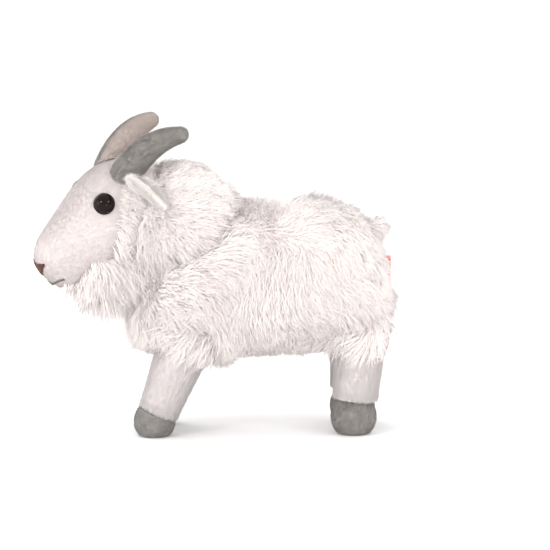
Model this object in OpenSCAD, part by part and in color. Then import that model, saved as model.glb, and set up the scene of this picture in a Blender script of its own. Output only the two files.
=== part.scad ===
// Plush mountain goat, standing, with its head turned a little to its left.
// Frame: +Z up, the goat faces -Y, its left side is +X. The origin is on the floor,
// under the middle of the toy. Millimetres.
// Every cloth piece is a closed shell as thick as its pile, and the filling is a solid inside it.

/* [Torso] */
// Half width of the barrel at its widest
torso_half_w = 40.5; // [36:0.5:44]
// Thickness of the long-pile cloth, backing and fur together
fur_t = 6; // [4:0.5:8]

/* [Neck] */
// Radius of the neck and mane, a ball that turns in the shoulders
neck_r = 36; // [34:0.5:36]

/* [Head] */
// Turn of the head to the goat's left
head_yaw = 18; // [10:1:20]
// Tilt of the head towards its left side
head_roll = 6; // [0:1:8]
// Slope of the line from the skull to the muzzle, below level
muzzle_slope = 42.4; // [38:0.2:46]
// Thickness of the short-pile cloth on the head and legs
plush_t = 2; // [1.5:0.1:2.5]
// Radius of the round eyes
eye_r = 6; // [5:0.25:6.5]

/* [Horns and ears] */
// Radius of a horn where it leaves the head
horn_base_r = 8.8; // [8:0.1:9.6]
// Radius of a horn's rounded tip
horn_tip_r = 4.8; // [4.2:0.1:6]
// Half width of an ear at its widest
ear_half_w = 7.5; // [6:0.25:9]

/* [Legs] */
// Radius of the ball at the top of a leg
leg_ball_r = 15.5; // [14:0.1:15.5]
// Radius of the sleeve under the ball
sleeve_r = 14.7; // [13:0.1:14.8]
// Forward slope of a fore leg
fore_slope = 23; // [20:0.5:24]
// Forward slope of a hind leg
hind_slope = 5; // [2:0.5:6]

/* [Hidden] */
$fn = 48;

fur_white = [0.93, 0.90, 0.88];
plush_white = [0.95, 0.92, 0.90];
filling_white = [0.98, 0.98, 0.96];
horn_grey = [0.55, 0.53, 0.51];
hoof_grey = [0.59, 0.57, 0.56];
ear_cream = [0.90, 0.86, 0.80];
lining_tan = [0.76, 0.68, 0.60];
nose_brown = [0.31, 0.18, 0.14];
mouth_grey = [0.42, 0.42, 0.38];

gap = 0.4;          // running gap between bodies
big = 200;          // larger than the toy, for cutting halves
neck_at = [0, -21, 117];
neck_rim = 24.9;    // from the neck's centre to its flat front
skull_at = [0, -54, 127.5];
skull_r = 27;       // the back of the skull stays inside this ball
body_round = 2.6;   // superellipse exponent of the torso's sections
head_round = 2.4;   // superellipse exponent of the head's sections

// Sections of the torso, back to front: [y, centre z, half width, reach up, reach down]
torso_w = torso_half_w;
torso_sections = [
    [99.8, 75, 0.5, 0.5, 0.5],
    [98.7, 75, 0.2 * torso_w, 8, 9],
    [96.2, 77, 0.5 * torso_w, 21, 22],
    [90, 80, 0.78 * torso_w, 32, 32],
    [80, 84, 0.95 * torso_w, 41, 38],
    [67, 86, torso_w, 44.2, 41.5],
    [50, 87, torso_w, 43.5, 44.5],
    [30, 86, torso_w, 43, 44],
    [12, 84, torso_w, 45.5, 41.5],
    [-5, 80, 0.99 * torso_w, 44.5, 37.5],
    [-21, 75, 0.955 * torso_w, 43, 32.5],
    [-36, 68, 0.85 * torso_w, 29, 24.5],
    [-45, 63, 0.64 * torso_w, 16, 16],
    [-50, 61, 0.3 * torso_w, 8, 8],
    [-51.5, 61, 0.5, 0.5, 0.5]
];
// Sections of the head, from the back of the skull to the muzzle, along the muzzle line
head_sections = [
    [26, 0, 0.5, 0.5, 0.5],
    [24.2, 0, 9.6, 9.6, 10],
    [19, 0, 17, 17.4, 18],
    [10, 0, 22.8, 22.8, 23.5],
    [0, 0, 24.3, 25, 25],
    [-12, 0, 23.8, 24.2, 23.5],
    [-24, 0, 21.3, 22, 22],
    [-35, 0, 17.8, 19.8, 19],
    [-44, 0, 15.3, 17.8, 16.5],
    [-50, 0, 13.6, 15.2, 15],
    [-54, 0, 11, 11.8, 12.5],
    [-56.7, 0, 6.6, 6.5, 8],
    [-58, 0, 0.5, 0.5, 0.5]
];
// Angles round a section: 90 is the top, -90 the bottom, 0 the left side
gusset_a = 35;      // half angle of the belly gusset
forehead_a = 24;    // half angle of the forehead gusset
chin_a = 40;        // half angle of the chin gusset

// Horn line in the head's own frame: root inside the skull, bend, and centre of the tip
horn_root = [11.5, -4, 13];
horn_bend = [17.5, 6.5, 39];
horn_end = [24.5, 26.5, 43];

// Ears: root, tip, and the direction that the lining faces
ear_root_left = [24.9, -47.9, 142.1];
ear_tip_left = [46, -28.5, 131.5];
ear_root_right = [-23.9, -58.3, 143.6];
ear_tip_right = [-46, -39.5, 134];
ear_face = [-0.1, 0.3, 0.93];

// Legs: ball centre, slope, hoof ball's distance down the leg, hoof radius, seam distance
leg_x = 19;
leg_top_z = 58;
toe_back = 3.5;     // a right leg slopes this many degrees less than a left one
fore_leg = [-14, fore_slope, 53.6, 11.3, 49.2];
hind_leg = [80.5, hind_slope, 48.4, 12.6, 39];
hoof_t = 1.2;
stitch_r = 0.45;

tail_at = [0, 84, 110.5];
tail_slope = 58;    // from upright, backwards
tail_len = 8;
tail_r = 5;
tail_tip_r = 4;

eye_at = [21.9, -15.7, 5.4];
eye_turn = 22;      // eyes look this far forward of sideways
eye_lift = 12;      // and this far up
shank_r = 2;
washer_r = 5.8;
washer_t = 1.2;
washer_z = -7.4;    // under the middle of the eye

// ---------- shared geometry ----------

function power(v, p) = sign(v) * pow(abs(v), p);
// Catmull-Rom spline through the rows of a table, with k steps between two rows
function spline_row(p0, p1, p2, p3, u) =
    0.5 * (2 * p1 + (p2 - p0) * u + (2 * p0 - 5 * p1 + 4 * p2 - p3) * u * u
    + (3 * p1 - p0 - 3 * p2 + p3) * u * u * u);
function smooth(rows, k) = concat(
    [for (i = [0 : len(rows) - 2], s = [0 : k - 1])
        spline_row(rows[max(i - 1, 0)], rows[i], rows[i + 1],
            rows[min(i + 2, len(rows) - 1)], s / k)],
    [rows[len(rows) - 1]]);
function steps(a, b, n) = [for (i = [0 : n]) a + (b - a) * i / n];
// One section of a soft body as points, at the given angles
function section(row, angles, e) = [for (a = angles) [
    row[2] * power(cos(a), 2 / e),
    row[0],
    row[1] + (sin(a) > 0 ? row[3] : row[4]) * power(sin(a), 2 / e)]];
// The same sections drawn in by t towards the middle of the body
function drawn_in(rows, t) =
    let (y0 = rows[0][0], y1 = rows[len(rows) - 1][0], mid = (y0 + y1) / 2,
        half = abs(y1 - y0) / 2, w = max([for (r = rows) r[2]]), h = max([for (r = rows) r[3]]))
    [for (r = rows) [mid + (r[0] - mid) * (1 - t / half), r[1],
        r[2] * (1 - t / w), r[3] * (1 - t / h), r[4] * (1 - t / h)]];

// Closed solid between two grids of points that have the same rows and columns.
// Columns turn left about the way the rows run, and the second grid is the outer one.
module slab(inner, outer) {
    m = len(inner);
    n = len(inner[0]);
    function at(k, i, j) = k * m * n + i * n + j;
    polyhedron(
        points = [for (grid = [inner, outer], row = grid, p = row) p],
        faces = concat(
            [for (i = [0 : m - 2], j = [0 : n - 2], f = [
                [at(0, i, j), at(0, i, j + 1), at(0, i + 1, j + 1)],
                [at(0, i, j), at(0, i + 1, j + 1), at(0, i + 1, j)],
                [at(1, i, j), at(1, i + 1, j + 1), at(1, i, j + 1)],
                [at(1, i, j), at(1, i + 1, j), at(1, i + 1, j + 1)]]) f],
            [for (i = [0 : m - 2], f = [
                [at(0, i, 0), at(0, i + 1, 0), at(1, i + 1, 0)],
                [at(0, i, 0), at(1, i + 1, 0), at(1, i, 0)],
                [at(0, i, n - 1), at(1, i + 1, n - 1), at(0, i + 1, n - 1)],
                [at(0, i, n - 1), at(1, i, n - 1), at(1, i + 1, n - 1)]]) f],
            [for (j = [0 : n - 2], f = [
                [at(0, 0, j), at(1, 0, j + 1), at(0, 0, j + 1)],
                [at(0, 0, j), at(1, 0, j), at(1, 0, j + 1)],
                [at(0, m - 1, j), at(0, m - 1, j + 1), at(1, m - 1, j + 1)],
                [at(0, m - 1, j), at(1, m - 1, j + 1), at(1, m - 1, j)]]) f]));
}

// Closed solid through a list of rings that have the same number of points,
// each turning left about the way the list runs
module skin(rings) {
    m = len(rings);
    n = len(rings[0]);
    polyhedron(
        points = [for (ring = rings, p = ring) p],
        faces = concat(
            [[for (j = [0 : n - 1]) j]],
            [[for (j = [n - 1 : -1 : 0]) (m - 1) * n + j]],
            [for (i = [0 : m - 2], j = [0 : n - 1], f = [
                [i * n + j, (i + 1) * n + j, (i + 1) * n + (j + 1) % n],
                [i * n + j, (i + 1) * n + (j + 1) % n, i * n + (j + 1) % n]]) f]));
}

// Rings round a path, with the half sizes [across, through] at each point
function unit(v) = v / norm(v);
function path_tangent(path, i) =
    unit(path[min(i + 1, len(path) - 1)] - path[max(i - 1, 0)]);
function path_across(path, i, face) = unit(cross(path_tangent(path, i), face));
function path_through(path, i, face) =
    unit(cross(path_tangent(path, i), path_across(path, i, face)));
function path_rings(path, sizes, face, n) = [for (i = [0 : len(path) - 1])
    [for (j = [0 : n - 1])
        path[i] + path_across(path, i, face) * sizes[i][0] * cos(360 * j / n)
        + path_through(path, i, face) * sizes[i][1] * sin(360 * j / n)]];

// ---------- torso ----------

torso_rows = smooth(torso_sections, 2);
torso_inner_rows = drawn_in(torso_rows, fur_t);
left_angles = steps(gusset_a - 90, 90, 12);
right_angles = steps(90, 270 - gusset_a, 12);
belly_angles = steps(270 - gusset_a, 270 + gusset_a, 6);

function drop_last(list) = [for (i = [0 : len(list) - 2]) list[i]];
function torso_grid(rows, angles) = [for (r = rows) section(r, angles, body_round)];

module torso_panel(angles) {
    slab(torso_grid(torso_inner_rows, angles), torso_grid(torso_rows, angles));
}

// The seats that the legs, the neck and the tail turn in, with room for their swing
module torso_seats() {
    for (side = [-1, 1], leg = [fore_leg, hind_leg])
        at_leg(leg, side) {
            sphere(leg_ball_r + gap);
            intersection() {
                mirror([0, 0, 1]) cylinder(h = 30, r1 = leg_ball_r, r2 = leg_ball_r + 11);
                cube([2 * (sleeve_r + gap), big, big], center = true);
            }
        }
    translate(neck_at) sphere(neck_r + gap);
    at_tail() {
        sphere(tail_r + gap);
        cylinder(h = 20, r1 = tail_r, r2 = tail_r + 8);
    }
}

module torso_cover_left() {
    color(fur_white) difference() {
        torso_panel(left_angles);
        torso_seats();
    }
}

module torso_cover_right() {
    color(fur_white) difference() {
        torso_panel(right_angles);
        torso_seats();
    }
}

module belly_gusset() {
    color(fur_white) difference() {
        torso_panel(belly_angles);
        torso_seats();
    }
}

module torso_stuffing() {
    all_angles = concat(drop_last(left_angles), drop_last(right_angles), drop_last(belly_angles));
    color(filling_white) difference() {
        skin(torso_grid(torso_inner_rows, all_angles));
        torso_seats();
    }
}

// Hand stitches that close the filling gap in the seam left of the belly gusset
module closing_stitches() {
    seam = section([0, 87, torso_w, 44, 42], [gusset_a - 90], body_round)[0];
    color(plush_white) for (i = [0 : 6])
        translate([seam[0] - 0.8, 22 + 4 * i, seam[2] + 0.8])
            rotate([0, 45, 0]) cylinder(h = 3.2, r = 0.35, center = true);
}

// Blank ribbon, folded double and caught in the back seam beside the tail
module sewn_label() {
    color("red") translate([9, 90, 82]) rotate([0, 0, -14]) linear_extrude(17) {
        difference() {
            union() {
                translate([-0.8, 0]) square([1.6, 7.2]);
                translate([0, 7.2]) circle(0.8);
            }
            translate([-0.3, -1]) square([0.6, 8.2]);
        }
    }
}

// ---------- neck ----------

module at_head() {
    translate(skull_at) rotate([0, head_roll, head_yaw]) children();
}

// The seat that the skull and the jaw turn in
module skull_seat() {
    translate(skull_at) sphere(skull_r + 0.6);
    at_head() translate([0, -3, -7]) sphere(28.5);
}

// The neck's ball, cut flat in front, where the skull comes out of it
module neck_ball(r) {
    rim_axis = unit(skull_at - neck_at);
    translate(neck_at) rotate([90 - asin(rim_axis[2]), 0, 0]) rotate_extrude()
        intersection() {
            circle(r);
            translate([0, -r]) square([r, r + neck_rim]);
        }
}

module neck_cover(side) {
    color(fur_white) difference() {
        neck_ball(neck_r);
        neck_ball(neck_r - fur_t + 1);
        skull_seat();
        translate([side > 0 ? -big : 0, -big / 2 - 50, 0]) cube(big);
    }
}

module neck_cover_left() { neck_cover(1); }

module neck_cover_right() { neck_cover(-1); }

module neck_stuffing() {
    color(filling_white) difference() {
        neck_ball(neck_r - fur_t + 1);
        skull_seat();
    }
}

// ---------- head ----------

head_rows = smooth(head_sections, 2);
head_inner_rows = drawn_in(head_rows, plush_t);
muzzle_row = 12;    // first row of the muzzle
cheek_left_angles = steps(chin_a - 90, 90 - forehead_a, 9);
cheek_right_angles = steps(90 + forehead_a, 270 - chin_a, 9);
forehead_angles = steps(90 - forehead_a, 90 + forehead_a, 4);
chin_angles = steps(270 - chin_a, 270 + chin_a, 6);

function head_grid(rows, angles) = [for (r = rows) section(r, angles, head_round)];
head_angles = concat(drop_last(cheek_left_angles), drop_last(forehead_angles),
    drop_last(cheek_right_angles), drop_last(chin_angles));

module at_muzzle() {
    at_head() rotate([muzzle_slope, 0, 0]) children();
}

module head_form() {
    at_muzzle() skin(head_grid(head_rows, head_angles));
}

// The front of the head, swollen by t, for pieces that lie on the muzzle's surface
module muzzle_form(t) {
    rows = drawn_in(head_rows, -t);
    at_muzzle() skin(head_grid([for (i = [muzzle_row : len(rows) - 1]) rows[i]], head_angles));
}

module at_eye(side) {
    at_head() translate([side * eye_at[0], eye_at[1], eye_at[2]])
        rotate([0, 0, -side * eye_turn]) rotate([0, side * (90 - eye_lift), 0]) children();
}

module head_panel(angles) {
    color(plush_white) difference() {
        at_muzzle() slab(head_grid(head_inner_rows, angles), head_grid(head_rows, angles));
        for (side = [-1, 1]) at_eye(side) {
            translate([0, 0, -0.4]) cylinder(h = 8, r = eye_r + 0.02);
            cylinder(h = 24, r = shank_r + 0.02, center = true);
        }
    }
}

module head_cover_left() { head_panel(cheek_left_angles); }

module head_cover_right() { head_panel(cheek_right_angles); }

module forehead_gusset() { head_panel(forehead_angles); }

module chin_gusset() { head_panel(chin_angles); }

module head_stuffing() {
    color(filling_white) difference() {
        at_muzzle() skin(head_grid(head_inner_rows, head_angles));
        for (side = [-1, 1]) at_eye(side) {
            cylinder(h = 24, r = shank_r + 0.02, center = true);
            translate([0, 0, washer_z]) cylinder(h = 12, r = washer_r + 0.02);
        }
    }
}

// Safety eye: dome and shank moulded in one
module eye(side) {
    dome_h = 0.72 * eye_r;
    ball_r = (eye_r * eye_r + dome_h * dome_h) / (2 * dome_h);
    color("black") at_eye(side) translate([0, 0, -0.4]) {
        difference() {
            translate([0, 0, dome_h - ball_r]) sphere(ball_r);
            translate([0, 0, -big]) cylinder(h = big, r = big);
        }
        translate([0, 0, -10]) cylinder(h = 10.5, r = shank_r);
    }
}

module eye_left() { eye(1); }

module eye_right() { eye(-1); }

module eye_washer(side) {
    color("white") at_eye(side) translate([0, 0, washer_z]) difference() {
        cylinder(h = washer_t, r = washer_r);
        translate([0, 0, -1]) cylinder(h = washer_t + 2, r = shank_r);
    }
}

module eye_washer_left() { eye_washer(1); }

module eye_washer_right() { eye_washer(-1); }

// Satin-stitched nose: a rounded triangle on the muzzle's front, point down
module nose_embroidery() {
    color(nose_brown) difference() {
        intersection() {
            muzzle_form(0.8);
            at_head() translate([0, -30, -31]) rotate([90, 0, 0])
                linear_extrude(30) polygon([[-6.2, 3], [-5, 4], [5, 4], [6.2, 3], [1, -4], [-1, -4]]);
        }
        muzzle_form(0);
    }
}

// Mouth line: a stitched cord from under the nose out to each cheek
module mouth_embroidery() {
    mouth = [[0, -42.2], [5, -42.6], [9, -40.6], [12.5, -37.4]];
    color(mouth_grey) difference() {
        intersection() {
            muzzle_form(0.7);
            at_head() translate([0, -22, 0]) rotate([90, 0, 0]) linear_extrude(40)
                for (side = [-1, 1], i = [0 : 2]) hull() {
                    translate([side * mouth[i][0], mouth[i][1]]) circle(0.6, $fn = 12);
                    translate([side * mouth[i + 1][0], mouth[i + 1][1]]) circle(0.6, $fn = 12);
                }
        }
        muzzle_form(0);
    }
}

// Beard: long pile hanging from under the jaw
module beard() {
    color(fur_white) difference() {
        at_head() hull() {
            translate([0, -27, -46]) sphere(6, $fn = 20);
            translate([0, -10, -40]) sphere(8.5, $fn = 20);
            translate([0, -8, -62]) sphere(3.5, $fn = 20);
        }
        head_form();
        muzzle_form(1);
    }
}

// ---------- horns ----------

function bend(a, b, c, u) = a * (1 - u) * (1 - u) + b * 2 * u * (1 - u) + c * u * u;
horn_steps = 8;
tip_steps = 4;

// Horn drawn in by t: a tapering tube with a round end, in the head's own frame
module horn_form(t) {
    along = [for (i = [0 : horn_steps]) bend(horn_root, horn_bend, horn_end, i / horn_steps)];
    tip_way = unit(horn_end - horn_bend);
    round_end = [for (i = [1 : tip_steps])
        horn_end + tip_way * (horn_tip_r - t) * sin(84 * i / tip_steps)];
    sizes = concat(
        [for (i = [0 : horn_steps])
            let (u = i / horn_steps, r = horn_base_r + (horn_tip_r - horn_base_r) * u * u - t)
            [r, r]],
        [for (i = [1 : tip_steps])
            let (r = (horn_tip_r - t) * cos(84 * i / tip_steps)) [r, r]]);
    skin(path_rings(concat(along, round_end), sizes, [1, 0, 0], 18));
}

module mirror_if(side) {
    if (side < 0) mirror([1, 0, 0]) children();
    else children();
}

module horn_cover(side) {
    color(horn_grey) difference() {
        at_head() mirror_if(side) horn_form(0);
        at_head() mirror_if(side) horn_form(1.4);
        head_form();
    }
}

module horn_stuffing(side) {
    color(filling_white) difference() {
        at_head() mirror_if(side) horn_form(1.4);
        head_form();
    }
}

module horn_cover_left() { horn_cover(1); }

module horn_cover_right() { horn_cover(-1); }

module horn_stuffing_left() { horn_stuffing(1); }

module horn_stuffing_right() { horn_stuffing(-1); }

// ---------- ears ----------

// One layer of an ear, a cupped leaf between the heights low and high over its middle sheet
module ear_layer(root, tip, face, low, high) {
    rows = 9;
    cols = 8;
    way = unit(tip - root);
    across = unit(cross(way, face));
    out = unit(cross(across, way));
    function leaf_w(u) = ear_half_w * (0.5 + 0.62 * sin(180 * pow(u, 0.8)) - 0.42 * u);
    function leaf_at(u, v, h) = root + (tip - root) * u + across * leaf_w(u) * v
        + out * (3.2 * v * v * sin(150 * (1 - u)) - 2 * u * u + h);
    slab([for (u = steps(0, 1, rows)) [for (v = steps(-1, 1, cols)) leaf_at(u, v, low)]],
        [for (u = steps(0, 1, rows)) [for (v = steps(-1, 1, cols)) leaf_at(u, v, high)]]);
}

function flip(v) = [-v[0], v[1], v[2]];

module ear_outer_left() {
    color(ear_cream) ear_layer(ear_root_left, ear_tip_left, ear_face, 0, 1.5);
}

module ear_lining_left() {
    color(lining_tan) ear_layer(ear_root_left, ear_tip_left, ear_face, 1.5, 2.5);
}

module ear_outer_right() {
    color(ear_cream) ear_layer(ear_root_right, ear_tip_right, flip(ear_face), 0, 1.5);
}

module ear_lining_right() {
    color(lining_tan) ear_layer(ear_root_right, ear_tip_right, flip(ear_face), 1.5, 2.5);
}

// ---------- legs ----------

// A leg's own frame: origin at its ball, -Z down the leg
module at_leg(leg, side) {
    slope = leg[1] - (side < 0 ? toe_back : 0);
    translate([side * leg_x, leg[0], leg_top_z]) rotate([-slope, 0, 0]) children();
}

// Outside of a sleeve drawn in by t, down to the seam with the hoof
module sleeve_form(leg, t) {
    sphere(leg_ball_r - t);
    mirror([0, 0, 1]) cylinder(h = leg[4], r1 = sleeve_r - t, r2 = leg[3] - 0.2 - t);
}

module leg_cover(leg, side) {
    color(plush_white) at_leg(leg, side) difference() {
        sleeve_form(leg, 0);
        sleeve_form(leg, plush_t);
        translate([0, 0, -leg[4] - 10]) cylinder(h = 10, r = big);
    }
}

// Inside of the hoof: a ball flattened on the sole
module hoof_filling(leg, side) {
    difference() {
        at_leg(leg, side) difference() {
            translate([0, 0, -leg[2]]) sphere(leg[3] - hoof_t);
            translate([0, 0, -leg[4]]) cylinder(h = 60, r = 40);
        }
        translate([-big / 2, -big / 2, hoof_t - big]) cube(big);
    }
}

module leg_stuffing(leg, side) {
    color(filling_white) {
        at_leg(leg, side) sleeve_form(leg, plush_t);
        hoof_filling(leg, side);
    }
}

// Ring round the toe that the cleft stitches are pulled into
module toe_ring(leg, side, r, angle) {
    at_leg(leg, side) translate([0, 0, -leg[2]]) rotate([90, 0, 90])
        rotate([0, 0, 180 - 17]) rotate_extrude(angle = angle, $fn = 64)
            translate([leg[3] - 0.3, 0]) circle(r, $fn = 16);
}

module hoof(leg, side) {
    color(hoof_grey) difference() {
        at_leg(leg, side) difference() {
            translate([0, 0, -leg[2]]) sphere(leg[3]);
            translate([0, 0, -leg[4]]) cylinder(h = 60, r = 40);
        }
        translate([-big / 2, -big / 2, -big]) cube(big);
        hoof_filling(leg, side);
        toe_ring(leg, side, stitch_r + 0.05, 41);
    }
}

module toe_stitches(leg, side) {
    color(mouth_grey) toe_ring(leg, side, stitch_r, 41);
}

module fore_leg_cover_left() { leg_cover(fore_leg, 1); }

module fore_leg_cover_right() { leg_cover(fore_leg, -1); }

module hind_leg_cover_left() { leg_cover(hind_leg, 1); }

module hind_leg_cover_right() { leg_cover(hind_leg, -1); }

module fore_leg_stuffing_left() { leg_stuffing(fore_leg, 1); }

module fore_leg_stuffing_right() { leg_stuffing(fore_leg, -1); }

module hind_leg_stuffing_left() { leg_stuffing(hind_leg, 1); }

module hind_leg_stuffing_right() { leg_stuffing(hind_leg, -1); }

module fore_hoof_left() { hoof(fore_leg, 1); }

module fore_hoof_right() { hoof(fore_leg, -1); }

module hind_hoof_left() { hoof(hind_leg, 1); }

module hind_hoof_right() { hoof(hind_leg, -1); }

module fore_stitches_left() { toe_stitches(fore_leg, 1); }

module fore_stitches_right() { toe_stitches(fore_leg, -1); }

module hind_stitches_left() { toe_stitches(hind_leg, 1); }

module hind_stitches_right() { toe_stitches(hind_leg, -1); }

// ---------- tail ----------

module at_tail() {
    translate(tail_at) rotate([-tail_slope, 0, 0]) children();
}

module tail_form(t) {
    at_tail() {
        sphere(tail_r - t);
        cylinder(h = tail_len, r1 = tail_r - t, r2 = tail_tip_r - t);
        translate([0, 0, tail_len]) sphere(tail_tip_r - t);
    }
}

module tail_cover() {
    color(fur_white) difference() {
        tail_form(0);
        tail_form(1.8);
    }
}

module tail_stuffing() {
    color(filling_white) tail_form(1.8);
}

torso_cover_left();
torso_cover_right();
belly_gusset();
torso_stuffing();
closing_stitches();
sewn_label();
neck_cover_left();
neck_cover_right();
neck_stuffing();
head_cover_left();
head_cover_right();
forehead_gusset();
chin_gusset();
head_stuffing();
eye_left();
eye_right();
eye_washer_left();
eye_washer_right();
nose_embroidery();
mouth_embroidery();
beard();
horn_cover_left();
horn_cover_right();
horn_stuffing_left();
horn_stuffing_right();
ear_outer_left();
ear_lining_left();
ear_outer_right();
ear_lining_right();
fore_leg_cover_left();
fore_leg_stuffing_left();
fore_hoof_left();
fore_stitches_left();
fore_leg_cover_right();
fore_leg_stuffing_right();
fore_hoof_right();
fore_stitches_right();
hind_leg_cover_left();
hind_leg_stuffing_left();
hind_hoof_left();
hind_stitches_left();
hind_leg_cover_right();
hind_leg_stuffing_right();
hind_hoof_right();
hind_stitches_right();
tail_cover();
tail_stuffing();
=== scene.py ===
import math
import bpy
import numpy as np
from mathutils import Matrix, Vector
from mathutils.bvhtree import BVHTree
from mathutils.kdtree import KDTree


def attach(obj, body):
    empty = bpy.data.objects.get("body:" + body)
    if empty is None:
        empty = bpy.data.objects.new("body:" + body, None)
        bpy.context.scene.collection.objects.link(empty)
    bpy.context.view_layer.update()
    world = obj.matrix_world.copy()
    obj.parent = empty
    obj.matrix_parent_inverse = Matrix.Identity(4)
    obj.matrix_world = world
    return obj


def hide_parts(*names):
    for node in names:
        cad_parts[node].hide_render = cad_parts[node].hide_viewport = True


# White plush mountain goat. +Z up, the goat faces -Y, its left side is +X. Lengths are in metres
# where Blender needs them, and in millimetres where a name ends in _mm or a table says so.

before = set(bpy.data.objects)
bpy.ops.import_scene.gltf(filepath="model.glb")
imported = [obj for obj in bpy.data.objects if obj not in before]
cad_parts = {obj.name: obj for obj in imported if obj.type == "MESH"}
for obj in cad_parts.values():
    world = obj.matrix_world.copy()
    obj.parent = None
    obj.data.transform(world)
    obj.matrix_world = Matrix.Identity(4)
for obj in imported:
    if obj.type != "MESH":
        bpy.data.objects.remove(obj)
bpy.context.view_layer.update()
MM = 0.001
scene = bpy.context.scene
SIDES = {"left": 1.0, "right": -1.0}

# centres of the seats where one stuffed part sits in another, and the seats' radii, all in millimetres
NECK_CENTRE, NECK_SEAT = np.array([0, -21, 117]), 36.9
SKULL_CENTRE, SKULL_SEAT = np.array([0, -54, 127.5]), 28.6
TAIL_CENTRE, TAIL_SEAT = np.array([0, 84, 110.5]), 6
LEG_SEAT, HIP_SEAT = 16.4, 16.6
HIP_X, HIP_Z = 19, 58

# for each pair of legs: y of the hip, slope in degrees, and along the leg the hoof's centre; then the hoof's
# radius, and along the leg the seam where the hoof is sewn on
LEG_FORMS = {"fore": (-14, 23, 53.6, 11.3, 49.2), "hind": (80.5, 5, 48.4, 12.6, 39)}
RIGHT_LEGS_STEEPER = 3.5
LEGS = {}
for end, (leg_y, slope, leg_down, leg_radius, leg_seam) in LEG_FORMS.items():
    for side, s in SIDES.items():
        leg_slope = math.radians(slope - (0 if side == "left" else RIGHT_LEGS_STEEPER))
        LEGS[end, side] = (np.array([s * HIP_X, leg_y, HIP_Z]),
                           np.array([0, -math.sin(leg_slope), -math.cos(leg_slope)]),
                           leg_down, leg_radius, leg_seam)

# fur is split into pieces with no more triangles than this; a short fibre has four
TRIANGLES_PER_PIECE = 190000
FIBRES_PER_PIECE = 47000

# short piles: fibres per mm2, and their length and width in millimetres
FACE_PILE = (9.0, 1.1, 0.24)
HORN_PILE = (6.0, 1.1, 0.30)
EAR_PILE = (12.0, 3.4, 0.22)
LEG_PILE = (7.0, 1.6, 0.26)
CUFF_PILE = (9.0, 2.6, 0.22)
HOOF_PILE = (5.5, 0.9, 0.28)

# long piles: strands per mm2, and how many strands the beard has
BODY_STRANDS, SKIRT_STRANDS, CHEEK_STRANDS, EAR_STRANDS, TAIL_STRANDS = 2.1, 1.6, 2.4, 5.0, 7.0
BEARD_STRANDS = 5200


# ---------- camera, light and floor ----------

def studio():
    """The camera sees the goat's left side from a little above. Soft light comes from all round, and three
    small lamps glint in the eye."""
    azimuth, elevation = math.radians(86), math.radians(7)
    right = Vector((math.cos(azimuth), math.sin(azimuth), 0))
    back = Vector((math.sin(azimuth) * math.cos(elevation),
                   -math.cos(azimuth) * math.cos(elevation), math.sin(elevation)))
    up = back.cross(right)
    frame_width, distance, sensor = 0.3025, 1.5, 36.0
    aim = right * 0.03355 + up * 0.08692 + back * 0.040
    camera = bpy.data.objects.new("camera", bpy.data.cameras.new("camera"))
    scene.collection.objects.link(camera)
    camera.location = aim + back * distance
    camera.rotation_mode = "QUATERNION"
    camera.rotation_quaternion = (-back).to_track_quat("-Z", "Y")
    camera.data.sensor_width = sensor
    camera.data.lens = sensor * distance / frame_width
    camera.data.clip_start, camera.data.clip_end = 0.05, 50
    scene.camera = camera

    world = bpy.data.worlds.new("studio")
    world.use_nodes = True
    world.node_tree.nodes["Background"].inputs["Color"].default_value = (1, 0.995, 0.99, 1)
    world.node_tree.nodes["Background"].inputs["Strength"].default_value = 1.27
    scene.world = world
    scene.view_settings.view_transform = "Standard"

    light_target = Vector((0, -0.05, 0.11))
    for name, place, size, power in (
            ("key", (0.965, -0.772, 0.686), 0.16, 4.2),
            ("fill_front", (0.5, -1.3, 0.25), 0.9, 5.0),
            ("fill_far", (-1.0, -0.75, 0.55), 1.0, 5.5),
            ("catch_rear", (0.729, 0.669, 0.559), 0.10, 1.9),
            ("catch_low", (0.95, 0.25, 0.015), 0.09, 1.6)):
        light = bpy.data.lights.new(name, "AREA")
        light.size, light.energy = size, power
        lamp = bpy.data.objects.new(name, light)
        lamp.location = place
        lamp.rotation_mode = "QUATERNION"
        lamp.rotation_quaternion = (light_target - Vector(place)).to_track_quat("-Z", "Y")
        scene.collection.objects.link(lamp)

    floor = bpy.data.objects.new("floor", bpy.data.meshes.new("floor"))
    half = 40.0
    floor.data.from_pydata([(-half, -half, 0), (half, -half, 0), (half, half, 0), (-half, half, 0)],
                           [], [(0, 1, 2, 3)])
    floor.data.materials.append(material("floor_pale", (0.975, 0.975, 0.975), (0.965, 0.965, 0.965), 40, 0.9))
    scene.collection.objects.link(floor)


# ---------- materials ----------

def nodes_of(name):
    made = bpy.data.materials.new(name)
    made.use_nodes = True
    tree = made.node_tree
    return made, tree, tree.nodes["Principled BSDF"]


def rgba(colour):
    return (*colour, 1.0)


def mixed(tree, factor, a, b):
    """Colour mix: each end is a colour or an output socket."""
    node = tree.nodes.new("ShaderNodeMix")
    node.data_type = "RGBA"
    ends = [socket for socket in node.inputs if socket.type == "RGBA"]
    for socket, end in zip(ends, (a, b)):
        if isinstance(end, bpy.types.NodeSocket):
            tree.links.new(end, socket)
        else:
            socket.default_value = rgba(end)
    tree.links.new(factor, node.inputs[0])
    return next(socket for socket in node.outputs if socket.type == "RGBA")


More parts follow.
